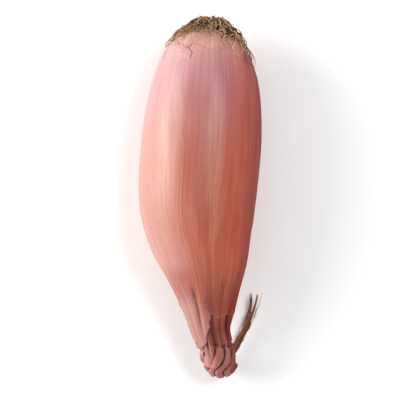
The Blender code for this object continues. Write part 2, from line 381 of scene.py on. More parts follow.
def store(net, geometry, name, value, kind="FLOAT"):
    values = {"Geometry": geometry, "Name": name, "Value": value}
    return net.add("GeometryNodeStoreNamedAttribute", values, data_type=kind, domain="POINT")


line = makeLine()
bendTree = makeBendTree()
print("line and bend made")


# The papery skin, from the dimple at the root end to the mouth of the folded neck

skin = {
    "sides": 280,
    "shoulderRings": 92,
    "bodyRings": 112,
    "neckRings": 130,
    "firstRing": 0.25,
    "shoulderEnd": 13.0,
    "neckFrom": 78.0,
    "merge": 0.002,
    "dimple": ((1.1, 0.0), (1.1, 2.4), (1.0, 4.6), (0.5, 5.2)),
    "mouth": ((0.35, -0.75), (0.25, -1.4), (-0.6, -1.75), (-2.2, -1.8), (-3.6, -1.9), (-4.0, -2.9)),
    "mouthRelief": (0.6, 1.3),  # how much the relief counts past the mouth, down to which radius
    "relief": {
        "Dents": 0.5,
        "Wrinkles": 0.17,
        "Neck Wrinkles": 0.7,
        "Fine Wrinkles": 0.22,
        "Pleats": 16.0,
        "Pleat Depth": 0.6,
        "Rolls": 9.0,
        "Roll Depth": 1.3,
        "Roll Turn": 1.0,
        "Roll Swing": 0.016,
        "Fold At": 102.6,
        "Fold Depth": 0.6,
    },
    "spans": {
        # where each thing starts and is full, in mm along
        "slimming": (70.0, 95.0),
        "neck": (72.0, 98.0),
        "pleated": (78.0, 97.0),
        "folded": (101.0, 104.5),
        "pastFold": (106.0, 113.0),
        "pastRoots": (3.0, 20.0),
        "pastBelly": (30.0, 75.0),
    },
    "lobes": ((2.0, 0.5, 0.014), (3.0, 1.9, 0.010)),  # how many round it, turned by, share of the radius
    "lobesEnd": (75.4, 100.5),
    "torn": {
        "Torn From": 5.2,
        "Torn Uneven": 9.0,
        "Torn Step": 0.24,
        "Torn Lift": 0.26,
    },
}


profileStep = 0.5


def evenProfile():
    # (radius, height share, distance along) at even steps, for looking up
    points = []
    for step in range(int(form["sheathLength"] / profileStep) + 1):
        along = profileStep * step
        points.append((outerRadius(max(along, skin["firstRing"])), heightShare(along), along))
    return chainObject("even profile", [points])


def skinProfile():
    # the same for each ring of the skin, and how much its relief counts there
    points, relief = [], []

    def ring(along, radius, share):
        points.append((radius, heightShare(along), along))
        relief.append(share)

    for along, radius in skin["dimple"]:
        ring(along, radius, 0.0)
    first = skin["firstRing"]
    for i in range(skin["shoulderRings"]):
        along = first + (skin["shoulderEnd"] - first) * (i / skin["shoulderRings"]) ** 1.1
        ring(along, outerRadius(along), smoothStep(-0.3, 1.6, along))
    for i in range(skin["bodyRings"]):
        along = skin["shoulderEnd"] + (skin["neckFrom"] - skin["shoulderEnd"]) * i / skin["bodyRings"]
        ring(along, outerRadius(along), 1.0)
    for i in range(skin["neckRings"] + 1):
        along = skin["neckFrom"] + (form["sheathLength"] - skin["neckFrom"]) * i / skin["neckRings"]
        ring(along, outerRadius(along), 1.0)
    share, least = skin["mouthRelief"]
    for past, narrower in skin["mouth"]:
        radius = max(0.0, form["mouthRadius"] + narrower)
        ring(form["sheathLength"] + past, radius, share if radius > least else 0.0)
    return chainObject("skin profile", [points], relief=relief), len(points)


def ringNoise(net, cosine, sine, along):
    # noise that closes round the shallot: turns sets the bumps round it, lengths those along it
    def around(turns, lengths, seed, detail=2.0, roughness=0.5):
        vector = net.vector(cosine * turns + seed, sine * turns - seed, along * lengths + seed)
        return net.noise(vector, detail, roughness)

    return around


def ridged(value):
    return 1.0 - (value * 2.0 - 1.0).math("ABSOLUTE") * 2.0


def skinRelief(net, given, turn, along, radius):
    # how far the skin stands off its plain radius, and how deep it lies in its pleats, grooves and tuck,
    # which the material darkens as painted shade
    around = ringNoise(net, turn.math("COSINE"), turn.math("SINE"), along)

    # A faceted roundness and soft dents
    reached = {name: along.smooth(*span) for name, span in skin["spans"].items()}
    lobes = sum((turn * count + shift).math("COSINE") * depth for count, shift, depth in skin["lobes"])
    lobes = lobes * (1.0 - along.smooth(*skin["lobesEnd"])) * radius
    swell = 1.35 - reached["slimming"]
    dents = (around(1.3, 0.045, 3.1) - 0.5) * given["Dents"] * swell * along.smooth(2.0, 14.0)

    # The dry neck's pleats, which turn into a few fat rolls where it folds over
    neck, folded = reached["neck"], reached["folded"]
    uneven = 0.3 + around(2.1, 0.03, 14.4, 1.0).smooth(0.36, 0.62) * 0.9
    sway = (around(1.0, 0.05, 8.2) - 0.5) * 2.6 + (turn * 2.0).math("SINE") * 1.1 + along / 30.0
    pleat = (turn * given["Pleats"] + sway).math("COSINE")
    pleat = (pleat * 0.5 + 0.5) ** 0.6 * 2.0 - 1.0
    pleats = pleat * given["Pleat Depth"] * uneven * reached["pleated"] * (1.0 - folded * 0.75)
    pleats = pleats * (radius / form["neckRadius"]).math("MINIMUM", 1.0)
    wander = (around(1.3, 0.13, 6.1) - 0.5) * 3.4
    past = (along - given["Fold At"]).math("MAXIMUM", 0.0).math("MINIMUM", 8.0)
    swung = turn - given["Roll Turn"] - past * past * given["Roll Swing"]
    roll = (swung * given["Rolls"] * 0.5 + wander * 0.6).math("SINE").math("ABSOLUTE")
    groove = 1.0 - roll.smooth(0.05, 0.5)
    rolls = (roll ** 0.5 - 0.75) * given["Roll Depth"] * folded
    rolls = rolls * (0.45 + around(1.5, 0.1, 16.1).smooth(0.35, 0.6))

    # The tuck across the fold, and the bulge past it
    bow = (turn * 2.0 + 0.6).math("SINE") * 0.9 + (around(1.6, 0.0, 4.4) - 0.5) * 2.4
    across = along - given["Fold At"] - bow
    tuck = (1.0 - (across / 1.1).math("ABSOLUTE").smooth(0.0, 1.0)) * neck
    tuck = tuck * around(1.2, 0.0, 5.9).smooth(0.3, 0.55)
    bulge = across.smooth(-1.5, 3.5) * (1.0 - reached["pastFold"]) * 0.5

    # Wrinkles that gather towards both ends
    coarse = ridged(around(3.2, 0.022, 5.7, 1.0))
    fine = ridged(around(7.5, 0.05, 9.4, 2.0))
    gathered = 1.0 - reached["pastRoots"]
    wrinkles = coarse * given["Wrinkles"] * (0.35 + 0.65 * reached["pastBelly"] + 0.6 * gathered)
    wrinkles = wrinkles + coarse * given["Neck Wrinkles"] * neck * (0.55 - 0.15 * folded)
    wrinkles = wrinkles + fine * given["Fine Wrinkles"] * (0.18 + neck + 0.5 * gathered)
    height = lobes + dents + pleats + rolls + wrinkles + bulge - tuck * given["Fold Depth"]
    valley = (pleat * -0.5 + 0.5) ** 1.3 * (0.3 + uneven) * neck * (1.0 - folded * 0.6)
    valley = valley + ((0.5 - coarse * 0.5) * 0.35 + (0.5 - fine * 0.5) * 0.2) * neck
    return height, valley + groove * folded * 1.3 + tuck * 0.45


def wrapRound(net, given, grid, turn, along, radius, share, masks):
    # the grid laid round the shallot, with what its material reads
    cosine, sine = turn.math("COSINE"), turn.math("SINE")
    place = bent(net, given["Line"], along, radius * cosine, radius * share * sine)
    kept = store(net, grid, "place", net.vector(cosine, sine, along * 0.01), "FLOAT_VECTOR")
    for name, value in masks.items():
        kept = store(net, kept, name, value)
    return moveTo(net, kept, place)


def skinTree():
    sizes = (*skin["relief"], *skin["torn"])
    net, given = newTree("skin", ("Line", "Profile"), ("Sides", "Rings"), sizes)
    grid = unitGrid(net, given["Sides"] + 1.0, given["Rings"])
    x, y, _ = net.split(net.position())
    ring = ((y + 0.5) * (given["Rings"] - 1.0)).math("ROUND")
    turn = (x + 0.5) * fullTurn
    profile = shapeOf(net, given["Profile"])
    radius, share, along = net.split(lookUp(net, profile, net.position(), ring))
    relief = lookUp(net, profile, named(net, "relief"), ring, "FLOAT")
    height, valley = skinRelief(net, given, turn, along, radius)

    # The outer skin is torn off round the root end, with a ragged edge that lifts a little
    around = ringNoise(net, turn.math("COSINE"), turn.math("SINE"), along)
    ragged = around(2.2, 0.0, 2.3, 4.0, 0.6) - 0.42
    past = along - (given["Torn From"] + ragged * given["Torn Uneven"])
    covered = past.smooth(-0.12, 0.2)
    rim = covered * (1.0 - past.smooth(0.0, 1.6))
    torn = (covered - 1.0) * given["Torn Step"] + rim * given["Torn Lift"]

    outer = radius + (height + torn) * relief
    # the depth in the folds is kept for painted shade
    masks = {"crease": valley * relief, "torn": (1.0 - covered) * relief, "dry": rim * 0.6}
    return endMesh(net, given, wrapRound(net, given, grid, turn, along, outer, share, masks))


def newMaterial(name, settings):
    material = bpy.data.materials.new(name)
    material.use_nodes = True
    net = Net(material.node_tree)
    shader = net.tree.nodes["Principled BSDF"]
    for title, value in settings.items():
        shader.inputs[title].default_value = value
    return material, net, shader


def plug(net, shader, values):
    for title, wire in values.items():
        net.tree.links.new(wire.socket, shader.inputs[title])


def bump(net, height, strength, distance):
    values = {"Strength": strength, "Distance": distance, "Height": height}
    return net.add("ShaderNodeBump", values)


straw = srgb(211, 153, 129)
copper = srgb(150, 66, 46)
skinLook = {
    "ramp": (
        # from the root end, 0, to the mouth of the neck, 1
        (0.00, srgb(150, 104, 90)),
        (0.05, srgb(184, 136, 132)),
        (0.10, srgb(174, 118, 122)),
        (0.17, srgb(162, 100, 102)),
        (0.25, srgb(168, 102, 96)),
        (0.34, srgb(164, 91, 76)),
        (0.43, srgb(163, 86, 67)),
        (0.53, srgb(167, 80, 56)),
        (0.61, srgb(172, 82, 57)),
        (0.70, srgb(160, 76, 58)),
        (0.77, srgb(134, 54, 40)),
        (0.83, srgb(110, 42, 32)),
        (0.88, srgb(192, 100, 104)),
        (0.94, srgb(146, 78, 74)),
        (1.00, srgb(112, 58, 50)),
    ),
    # painted highlight on the flank towards the light: its colour near the root end, its colour further
    # on, and how much of it
    "pearlHighlight": srgb(222, 182, 182),
    "pale": srgb(222, 178, 165),
    "paleness": 0.46,
    "layers": {
        # colour, and how much of it at most
        "mauve bands": (srgb(160, 88, 98), 0.4),
        "straw bands": (straw, 0.35),
        "straw streaks": (straw, 0.24),
        "copper streaks": (copper, 0.24),
        # painted shade on the flank away from the light: first redder, partly the skin's own tone, then
        # dark
        "red shaded flank": (srgb(192, 72, 42), 0.5),
        "painted shade flank": (srgb(112, 17, 9), 0.85),
        "grey brown fold": (srgb(132, 88, 76), 0.65),
        # painted shade on the neck's flank away from the light, and plum there that is partly the neck's
        # own colour and partly painted shade
        "shaded neck flank": (srgb(122, 34, 22), 0.5),
        "plum pleats and shade": (srgb(112, 38, 32), 0.55),
        "fresh paper": (srgb(204, 150, 138), 0.4),
        "veins": (srgb(112, 44, 34), 0.12),
        "copper fibres": (copper, 0.16),
        "straw fibres": (straw, 0.14),
        "dry edges": (srgb(196, 134, 116), 0.55),
        # painted shade deep in the folds, grooves and the tuck
        "painted shade in folds": (srgb(72, 20, 15), 0.92),
        "scuffs": (srgb(104, 62, 40), 0.15),
    },
    "veins": 72.0,
    "scuffsPerMetre": 420.0,
    "bump": (0.22, 0.0003),
}


def skinMaterial():
    settings = {"Coat Roughness": 0.3, "Specular IOR Level": 0.3}
    material, net, shader = newMaterial("papery shallot skin", settings)
    # where the point lay while the shallot was straight: round it, and along it in tenths of a metre
    cosine, sine, along = net.split(net.attribute("place", "Vector"))
    torn = net.attribute("torn")
    crease = net.attribute("crease")
    dry = net.attribute("dry")
    around = ringNoise(net, cosine, sine, along)

    def layer(below, name, mask):
        colour, most = skinLook["layers"][name]
        return net.mix(mask * most, below, colour)

    # Bands and streaks that run lengthwise, broad to fine
    broad = around(1.1, 2.2, 4.0)
    angle = sine.math("ARCTAN2", cosine)
    lean = angle + (around(0.9, 1.7, 51.0) - 0.5) * 0.5 + (around(3.0, 4.0, 52.0) - 0.5) * 0.06
    leaning = ringNoise(net, lean.math("COSINE"), lean.math("SINE"), along)
    band = leaning(2.6, 1.8, 7.0, 3.0, 0.6)
    streak = leaning(8.0, 2.2, 11.0, 3.0, 0.6)
    fibre = leaning(26.0, 4.0, 21.0, 3.0, 0.65)
    wholeLength = 0.01 * form["sheathLength"]
    base = net.ramp(skinLook["ramp"], along / wholeLength + (broad - 0.5) * 0.14)
    base = layer(base, "mauve bands", band.smooth(0.5, 0.72))
    base = layer(base, "straw bands", 1.0 - band.smooth(0.3, 0.5))
    base = layer(base, "straw streaks", streak.smooth(0.5, 0.74))
    base = layer(base, "copper streaks", 1.0 - streak.smooth(0.26, 0.48))

    # Painted light: the flank towards the light is paler, a painted highlight, and the other flank
    # redder and darker, painted shade; the red is partly the skin's own tone
    side = cosine + (around(1.6, 2.4, 61.0) - 0.5) * 0.5
    litFlank = 1.0 - (side - along.smooth(0.35, 0.6) * 0.14).smooth(-0.9, -0.2)
    highlightFade = 1.0 - along.smooth(0.72, 0.8) * (1.0 - along.smooth(0.83, 0.9)) * 0.7
    pale = net.mix(along.smooth(0.2, 0.5), skinLook["pearlHighlight"], skinLook["pale"])
    base = net.mix(litFlank * highlightFade * skinLook["paleness"], base, pale)
    # painted shade: redder, then dark, towards the flank away from the light
    base = layer(base, "red shaded flank", side.smooth(0.1, 0.75) * (1.0 - along.smooth(0.93, 1.0) * 0.8))
    base = layer(base, "painted shade flank", side.smooth(0.55, 1.05))

    # The neck: painted shade on the flank away from the light, then plum on that side between its
    # pleats, partly the neck's own colour and partly painted shade, then grey brown where it folds over
    patchy = around(1.7, 5.0, 71.0, 1.0).smooth(0.42, 0.58)
    base = layer(base, "grey brown fold", along.smooth(1.0, 1.05) * patchy)
    neckShadeSpan = along.smooth(0.76, 0.88) * (1.0 - along.smooth(0.97, 1.0))
    base = layer(base, "shaded neck flank", neckShadeSpan * side.smooth(-0.3, 0.35))
    pressed = along.smooth(0.93, 0.98) * (1.0 - along.smooth(1.01, 1.04))
    base = layer(base, "plum pleats and shade", pressed * side.smooth(-0.6, 0.1) * (1.0 - torn))
    base = layer(base, "fresh paper", torn)

    # Fine veins that run from the root to the neck, as many all the way, so they close up at the ends
    warp = (around(6.0, 4.0, 42.0) - 0.5) * 2.6 + (around(2.0, 0.0, 44.0) - 0.5) * 16.0
    wave = (lean * skinLook["veins"] + warp).math("COSINE") * 0.5 + 0.5
    vein = wave ** 3.0 * (0.25 + around(5.0, 5.0, 43.0).smooth(0.35, 0.65))
    base = layer(base, "veins", vein)
    base = layer(base, "copper fibres", fibre.smooth(0.48, 0.72))
    base = layer(base, "straw fibres", 1.0 - fibre.smooth(0.28, 0.5))
    base = layer(base, "dry edges", dry)
    # painted shade, darker deep in the folds
    base = layer(base, "painted shade in folds", crease.smooth(0.25, 0.95))
    point = net.add("ShaderNodeTexCoord", (), "Object")
    scuffs = net.noise(net.scale(point, skinLook["scuffsPerMetre"]), 3.0, 0.6)
    base = layer(base, "scuffs", scuffs.smooth(0.62, 0.72))

    dull = side.smooth(0.3, 0.9)
    driest = along.smooth(0.78, 0.98)
    rough = 0.34 + fibre * 0.16 + (1.0 - broad) * 0.1 - torn * 0.06 + dry * 0.25
    height = vein * 0.7 + fibre * 0.6 + streak * 0.4
    plug(net, shader, {
        "Base Color": base,
        "Roughness": rough + dull * 0.2 + driest * 0.14,
        "Coat Weight": (0.32 - dull * 0.26) * (1.0 - driest * 0.75),
        "Normal": bump(net, height, *skinLook["bump"]),
    })
    return material


def makeSkin(material):
    profile, rings = skinProfile()
    values = {
        "Line": line,
        "Profile": profile,
        "Sides": skin["sides"],
        "Rings": rings,
        "Material": material,
        **skin["relief"],
        **skin["torn"],
    }
    made = runTree("shallot_skin", skinTree(), values, skin["merge"] * mm)
    discard(profile)
    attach(made, "root")
    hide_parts("bulb")


# Papery scraps of the outermost skin that still cling round the neck and the root end

flaps = {
    "sheet": {
        "Columns": 70,
        "Rings": 60,
        "Thickness": 0.09,
    },
    "pieces": (
        # attached at and free at (mm along), from and to (degrees round), lift, raggedness, paleness
        (80.0, 97.0, -8, 98, 0.4, 0.4, 0.0),
        (81.0, 105.5, 88, 196, 0.6, 0.35, 0.9),
        (84.0, 99.0, -95, 2, 0.5, 0.5, 0.0),
        (81.0, 95.0, 190, 285, 0.5, 0.4, 0.4),
        (103.0, 110.0, 84, 150, 0.7, 0.35, 0.3),
        (11.0, 3.4, 20, 75, 0.5, 0.5, 0.3),
        (13.0, 4.0, 112, 160, 0.6, 0.5, 0.2),
        (12.0, 3.2, -95, -20, 0.6, 0.5, 0.0),
        (12.5, 3.6, 190, 250, 0.5, 0.5, 0.3),
    ),
}


def flapTree():
    sizes = ("Attached", "Free", "From", "To", "Lift", "Ragged", "Fresh", "Thickness", "Seed")
    sizes += tuple(skin["relief"])
    net, given = newTree("papery flap", ("Line", "Profile"), ("Columns", "Rings"), sizes)
    grid = unitGrid(net, given["Columns"], given["Rings"])
    x, y, _ = net.split(net.position())
    u, v = x + 0.5, y + 0.5
    seed = given["Seed"]
    sides = (net.noise(net.vector(v * 3.0, seed, x.math("SIGN")), 3.0, 0.6) - 0.5) * 0.5 * v
    turn = given["From"] + (given["To"] - given["From"]) * (u + sides * (x * 2.0))
    edge = net.noise(net.vector(u * 3.4, seed + 4.0, 0.0), 5.0, 0.62)
    corner = (x * 2.0).math("ABSOLUTE") ** 3.0
    reach = v * (1.0 - given["Ragged"] * (edge * 1.2 + 0.45 * corner))
    along = given["Attached"] + (given["Free"] - given["Attached"]) * reach
    profile = shapeOf(net, given["Profile"])
    position = net.position()
    step = along / profileStep
    index = step.math("FLOOR")
    low, high = [lookUp(net, profile, position, at) for at in (index, index + 1.0)]
    mixed = net.vectors("ADD", low, net.scale(net.vectors("SUBTRACT", high, low), step - index))
    radius, share, _ = net.split(mixed)
    height, valley = skinRelief(net, given, turn, along, radius)
    crumple = (net.noise(net.vector(turn * 3.0, along * 0.5, seed), 3.0, 0.6) - 0.5) * 0.5 * v
    off = v.smooth(0.0, 0.7) * 0.35 - 0.22  # starts under the skin
    off = off + given["Lift"] * reach * v ** 2.0 + crumple.math("ABSOLUTE") * 0.6
    spanned = height.math("SMOOTH_MAX", v * 0.7 - 0.6, 0.4)  # it bridges the grooves
    outer = radius + spanned * (1.0 - 0.35 * v) + off
    # the first mask is the depth in the folds, kept for painted shade
    masks = {
        "crease": valley * (1.0 - 0.8 * v),
        "torn": v.smooth(0.35, 0.8) * given["Fresh"],
        "dry": v.smooth(0.86, 1.0) * 0.25,
    }
    placed = wrapRound(net, given, grid, turn, along, outer, share, masks)
    values = {"Mesh": placed, "Offset Scale": given["Thickness"] * mm, "Individual": False}
    outside = net.add("GeometryNodeExtrudeMesh", values, mode="FACES")
    inside = net.add("GeometryNodeFlipFaces", {"Mesh": placed})
    joined = net.tree.nodes.new("GeometryNodeJoinGeometry")
    for part in (inside, outside):
        net.tree.links.new(part.socket, joined.inputs[0])
    return endMesh(net, given, Wire(net, joined.outputs[0]))


def makeFlaps(material):
    tree = flapTree()
    profile = evenProfile()
    for number, (attached, free, start, end, lift, ragged, fresh) in enumerate(flaps["pieces"]):
        values = {
            "Line": line,
            "Profile": profile,
            "Attached": attached,
            "Free": free,
            "From": math.radians(start),
            "To": math.radians(end),
            "Lift": lift,
            "Ragged": ragged,
            "Fresh": fresh,
            "Seed": 3.7 * number,
            "Material": material,
            **flaps["sheet"],
            **skin["relief"],
        }
        made = runTree(f"papery_flap_{number + 1}", tree, values, 0.5 * skin["merge"] * mm)
        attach(made, "root")
        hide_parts("bulb")
    discard(profile)


paper = skinMaterial()
makeSkin(paper)
makeFlaps(paper)
print("skin and flaps made")


# The corky plate in the dimple of the root end, and the dry roots that grow from it, pressed back

roots = {
    "plateRadius": 4.7,
    "plate": ((0.6, 0.9), (0.0, 1.0), (-0.7, 1.0), (-1.3, 0.85), (-1.75, 0.5), (-1.95, 0.0)),
    "plateSides": 72,
    "plateSteps": 40,
    "rise": 2.0,
    "rings": (
        # how many bundles, distance from the plate's middle, shortest, longest, lift
        (11, 1.8, 4.5, 10.0, 1.2),
        (23, 3.9, 4.0, 19.5, 0.9),
    ),
    "strands": 6,
    "drape": (1.6, 28),  # follows the shoulder from here, for so many mm
    "spread": 0.11,
    # of each strand, as shares of its bundle's
    "reach": (0.55, 1.08),
    "start": (0.7, 1.1),
    "lift": (0.4, 1.6),
    # of each strand and each loop, as shares of the thickness
    "thickness": (0.55, 1.25),
    "loopThickness": (0.7, 1.4),
    "sway": 0.34,
    "curls": (1.5, 3.2),
    "loopStart": (-1.5, 1.2),
    "loopOut": (-1.6, 2.4),
    "loopLift": (0.4, 1.3),
    "clumps": (
        # middle (radians round), distance from the plate's middle, how far round it scatters, loops
        (0.5, 9.0, 0.3, 16),
        (2.6, 10.0, 0.35, 12),
        (1.5, 4.5, 0.5, 10),
        (4.4, 7.0, 1.6, 24),
        (1.5, 6.0, 1.6, 14),
    ),
    "points": 12,
    "sunk": -0.8,
    "clear": 0.35,
    "seed": 1,
    "strand": {
        "Resolution": 36,
        "Sides": 5,
        "Thickness": 0.24,
        "Tip": 0.35,
        "Wiggle": 0.75,
        "Wiggle Length": 2.6,
    },
    "lumps": {
        "Uneven": 0.9,
        "Uneven Length": 1.3,
    },
}


def drapePoints():
    # the line that roots follow: out over the plate and down the shoulder, as (along, radius)
    points = [Vector((-roots["rise"], 0.0)), Vector((-roots["rise"], 0.9 * roots["plateRadius"]))]
    first, steps = roots["drape"]
    points += [Vector((first + step, outerRadius(first + step))) for step in range(steps)]
    return points


def travelled(points, distance):
    # the place and heading a distance along a line of points
    for start, end in zip(points, points[1:]):
        length = (end - start).length
        if distance <= length or end is points[-1]:
            return start + (end - start) * distance / length, (end - start) / length
        distance -= length


def ringPoint(turn, radius, along):
    # a place on the form's flattened round
    return Vector((radius * math.cos(turn), radius * form["height"] * math.sin(turn), along))


def rootRoute(drape, angle, start, reach, lift, draw):
    drift = roots["sway"] * draw.uniform(-1, 1)
    curl = draw.uniform(*roots["curls"])
    phase = draw.uniform(0, fullTurn)
    chain = []
    for i in range(roots["points"]):
        share = max(0, i - 1) / (roots["points"] - 2)
        base, heading = travelled(drape, start + reach * share)
        height = roots["clear"] + lift * (0.5 + 0.5 * math.sin(curl * fullTurn * share + phase))
        if i == 0:
            height = roots["sunk"]
        along = base.x - heading.y * height
        turn = angle + drift * share
        turn += 0.5 * roots["sway"] * share * math.sin(curl * math.pi * share + phase)
        radius = base.y + heading.x * height
        if along > 0:
            radius = max(radius, outerRadius(max(along, 0.5)) + roots["clear"])
        chain.append(ringPoint(turn, radius, along))
    return chain


def loopRoute(drape, middle, distance, scatter, draw):
    # a root that runs round the plate and lies over the others
    sweep = draw.choice((-1, 1)) * draw.uniform(0.3, 0.5 + scatter * 0.5)
    angle = middle + scatter * draw.uniform(-1, 1) - 0.5 * sweep
    start = distance + draw.uniform(*roots["loopStart"])
    out = draw.uniform(*roots["loopOut"])
    lift = draw.uniform(*roots["loopLift"])
    chain = []
    for i in range(roots["points"]):
        share = i / (roots["points"] - 1)
        further = out * math.sin(math.pi * share) + 0.6 * math.sin(9.0 * share + angle)
        base, heading = travelled(drape, start + further)
        height = roots["clear"] + lift * math.sin(math.pi * share) * (0.6 + 0.4 * math.sin(7.0 * share))
        turn = angle + sweep * share
        radius = base.y + heading.x * height
        along = base.x - heading.y * height
        chain.append(ringPoint(turn, radius, along))
    return chain


def rootPaths():
    draw = random.Random(roots["seed"])
    drape = drapePoints()
    chains, tones, sizes = [], [], []
    for count, start, shortest, longest, lift in roots["rings"]:
        for i in range(count):
            angle = fullTurn * (i + draw.uniform(-0.45, 0.45)) / count
            sideways = abs(math.cos(angle)) ** 1.2 * draw.uniform(0.5, 1)
            reach = shortest + (longest - shortest) * (0.3 * draw.random() + 0.7 * sideways)
            tone = draw.random()
            for _ in range(roots["strands"]):
                turn = angle + roots["spread"] * draw.uniform(-1, 1)
                length = reach * draw.uniform(*roots["reach"])
                leavesAt = start * draw.uniform(*roots["start"])
                rise = lift * draw.uniform(*roots["lift"])
                chain = rootRoute(drape, turn, leavesAt, length, rise, draw)
                chains.append(chain)
                tones += [0.8 * tone + 0.2 * draw.random()] * len(chain)
                sizes += [draw.uniform(*roots["thickness"])] * len(chain)
    for middle, distance, scatter, count in roots["clumps"]:
        for _ in range(count):
            chain = loopRoute(drape, middle, distance, scatter, draw)
            chains.append(chain)
            tones += [0.6 * draw.random()] * len(chain)
            sizes += [draw.uniform(*roots["loopThickness"])] * len(chain)
    return chainObject("root paths", chains, tone=tones, size=sizes)


def bendAll(net, given, geometry, straight):
    # the end of a tree whose pieces were made straight: x across, y up, z along
    x, y, z = net.split(straight)
    return endMesh(net, given, moveTo(net, geometry, bent(net, given["Line"], z, x, y)))


def strandTree():
    sizes = ("Thickness", "Tip", "Wiggle", "Wiggle Length")
    net, given = newTree("dry strands", ("Line", "Paths"), ("Resolution", "Sides"), sizes)
    curve = curveOf(net, given["Paths"])
    smooth = net.add("GeometryNodeCurveSplineType", {"Curve": curve}, spline_type="CATMULL_ROM")
    even = net.add("GeometryNodeResampleCurve", {"Curve": smooth, "Count": given["Resolution"]})
    tone, size = named(net, "tone"), named(net, "size")
    factor = net.add("GeometryNodeSplineParameter")
    position = net.position()
    own = net.vector(tone * 97.0, size * 53.0, 0.0)  # so that no two strands shake alike
    seeded = net.vectors("ADD", net.scale(position, 1.0 / given["Wiggle Length"]), own)
    shake = net.vectors("SUBTRACT", net.noise(seeded, 1.0, 0.4, out="Color"), halves)
    shake = net.scale(shake, given["Wiggle"] * 2.0 * factor.smooth(0.05, 0.4))
    shaken = net.add("GeometryNodeSetPosition", {"Geometry": even, "Offset": shake})
    taper = given["Thickness"] * size * (1.0 - (1.0 - given["Tip"]) * factor)
    values = {"Resolution": given["Sides"], "Radius": 1.0}
    circle = net.add("GeometryNodeCurvePrimitiveCircle", values)
    values = {"Curve": shaken, "Profile Curve": circle, "Scale": taper, "Fill Caps": True}
    tubes = net.add("GeometryNodeCurveToMesh", values)
    kept = store(net, tubes, "place", net.position(), "FLOAT_VECTOR")
    return bendAll(net, given, kept, named(net, "place", "FLOAT_VECTOR"))


rootLook = {
    "tones": (
        (0.0, srgb(44, 30, 20)),
        (0.3, srgb(92, 66, 42)),
        (0.6, srgb(158, 118, 82)),
        (1.0, srgb(224, 188, 148)),
    ),
    "dirt": srgb(70, 46, 30),
    "bump": (0.5, 0.0002),
    "cork": ((0.3, srgb(62, 40, 26)), (0.5, srgb(112, 78, 50)), (0.7, srgb(160, 124, 86))),
    "corkBump": (0.7, 0.0005),
}


def rootMaterial():
    material, net, shader = newMaterial("dry roots", {"Specular IOR Level": 0.25})
    place = net.attribute("place", "Vector")
    tone = net.attribute("tone")
    blotch = net.noise(net.scale(place, 0.9), 3.0, 0.6)
    colour = net.ramp(rootLook["tones"], tone * 1.15 + blotch * 0.7 - 0.4)
    grain = net.noise(net.scale(place, 4.5), 2.0, 0.6)
    colour = net.mix(grain.smooth(0.5, 0.75) * 0.5, colour, rootLook["dirt"])
    plug(net, shader, {
        "Base Color": colour,
        "Roughness": 0.7 + grain * 0.25,
        "Normal": bump(net, grain, *rootLook["bump"]),
    })
    return material


def bendMeshTree():
    net, given = newTree("bend a mesh", ("Line", "Straight"), (), ("Uneven", "Uneven Length"))
    position = net.position()
    kept = store(net, shapeOf(net, given["Straight"]), "place", position, "FLOAT_VECTOR")
    rough = net.noise(net.scale(position, 1.0 / given["Uneven Length"]), 4.0, 0.6) - 0.5
    lumps = net.scale(net.add("GeometryNodeInputNormal"), rough * given["Uneven"])
    return bendAll(net, given, kept, net.vectors("ADD", position, lumps))


def makePlate():
    # a low cork dome in straight space
    chain = [Vector((share * roots["plateRadius"], along)) for along, share in roots["plate"]]
    length = sum((b - a).length for a, b in zip(chain, chain[1:])) * 0.9999  # ends in a speck
    steps, sides = roots["plateSteps"], roots["plateSides"]
    points, faces = [], []
    for i in range(steps + 1):
        place, _ = travelled(chain, length * i / steps)
        points += [ringPoint(fullTurn * side / sides, place.x, place.y) for side in range(sides)]
    for i in range(steps):
        for side in range(sides):
            a, b = i * sides + side, i * sides + (side + 1) % sides
            faces.append((a, b, b + sides, a + sides))
    straight = meshObject("plate straight", points, (), faces)
    values = {"Line": line, "Straight": straight, "Material": plateMaterial(), **roots["lumps"]}
    made = runTree("root_plate", bendMeshTree(), values, skin["merge"] * mm)
    discard(straight)
    return made


def plateMaterial():
    material, net, shader = newMaterial("corky root plate", {"Specular IOR Level": 0.2})
    place = net.attribute("place", "Vector")
    lumps = net.noise(net.scale(place, 1.1), 4.0, 0.65)
    colour = net.ramp(rootLook["cork"], lumps)
    plug(net, shader, {
        "Base Color": colour,
        "Roughness": 0.75 + lumps * 0.2,
        "Normal": bump(net, lumps, *rootLook["corkBump"]),
    })
    return material


def makeRoots():
    paths = rootPaths()
    values = {"Line": line, "Paths": paths, "Material": rootMaterial(), **roots["strand"]}
    made = runTree("dry_roots", strands, values)
    discard(paths)
    for piece in (made, makePlate()):
        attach(piece, "root")
        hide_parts("root_tuft")


strands = strandTree()
makeRoots()
print("roots made")


# The dried ends of the leaves: ribbons out of the neck's mouth, and the fibres that they fray into

leaves = {
    "start": 117.3,
    "ribbons": (
        # leaves it at, sideways, upwards, length, half width at its start and end, twist in turns
        (-2.5, -0.6, 0.15, 30.0, 1.6, 0.5, 0.35),
        (-2.5, -1.1, -0.2, 24.0, 1.4, 0.45, -0.3),
        (-2.5, 0.5, -0.1, 19.0, 0.8, 0.35, 0.5),
        (6.0, 0.7, 0.4, 12.0, 0.62, 0.3, 0.4),
        (14.0, -2.6, 2.0, 13.0, 0.55, 0.28, -0.4),
    ),
    "ribbonPoints": 12,
    "ribbon": {
        "Resolution": 90,
        "Uneven": 0.5,
    },
    "fibres": 46,
    "fibrePoints": 9,
    "fibre": {
        "Resolution": 20,
        "Sides": 5,
        "Thickness": 0.11,
        "Tip": 0.3,
        "Wiggle": 0.5,
        "Wiggle Length": 3.0,
    },
    "section": {
        "points": 40,
        "thick": 0.13,
        "hollow": 0.42,
        "ridges": 9,
        "ridge": 0.035,
        "raised": -0.2,
    },
    "fray": {
        # from and over are shares of the ribbon's length, across and up of its half width
        "from": (0.2, 0.75),
        "over": (0.25, 0.4),
        "across": (-0.8, 0.8),
        "up": (-0.3, 0.5),
        "thickness": (0.6, 1.5),
    },
    "seed": 5,
}


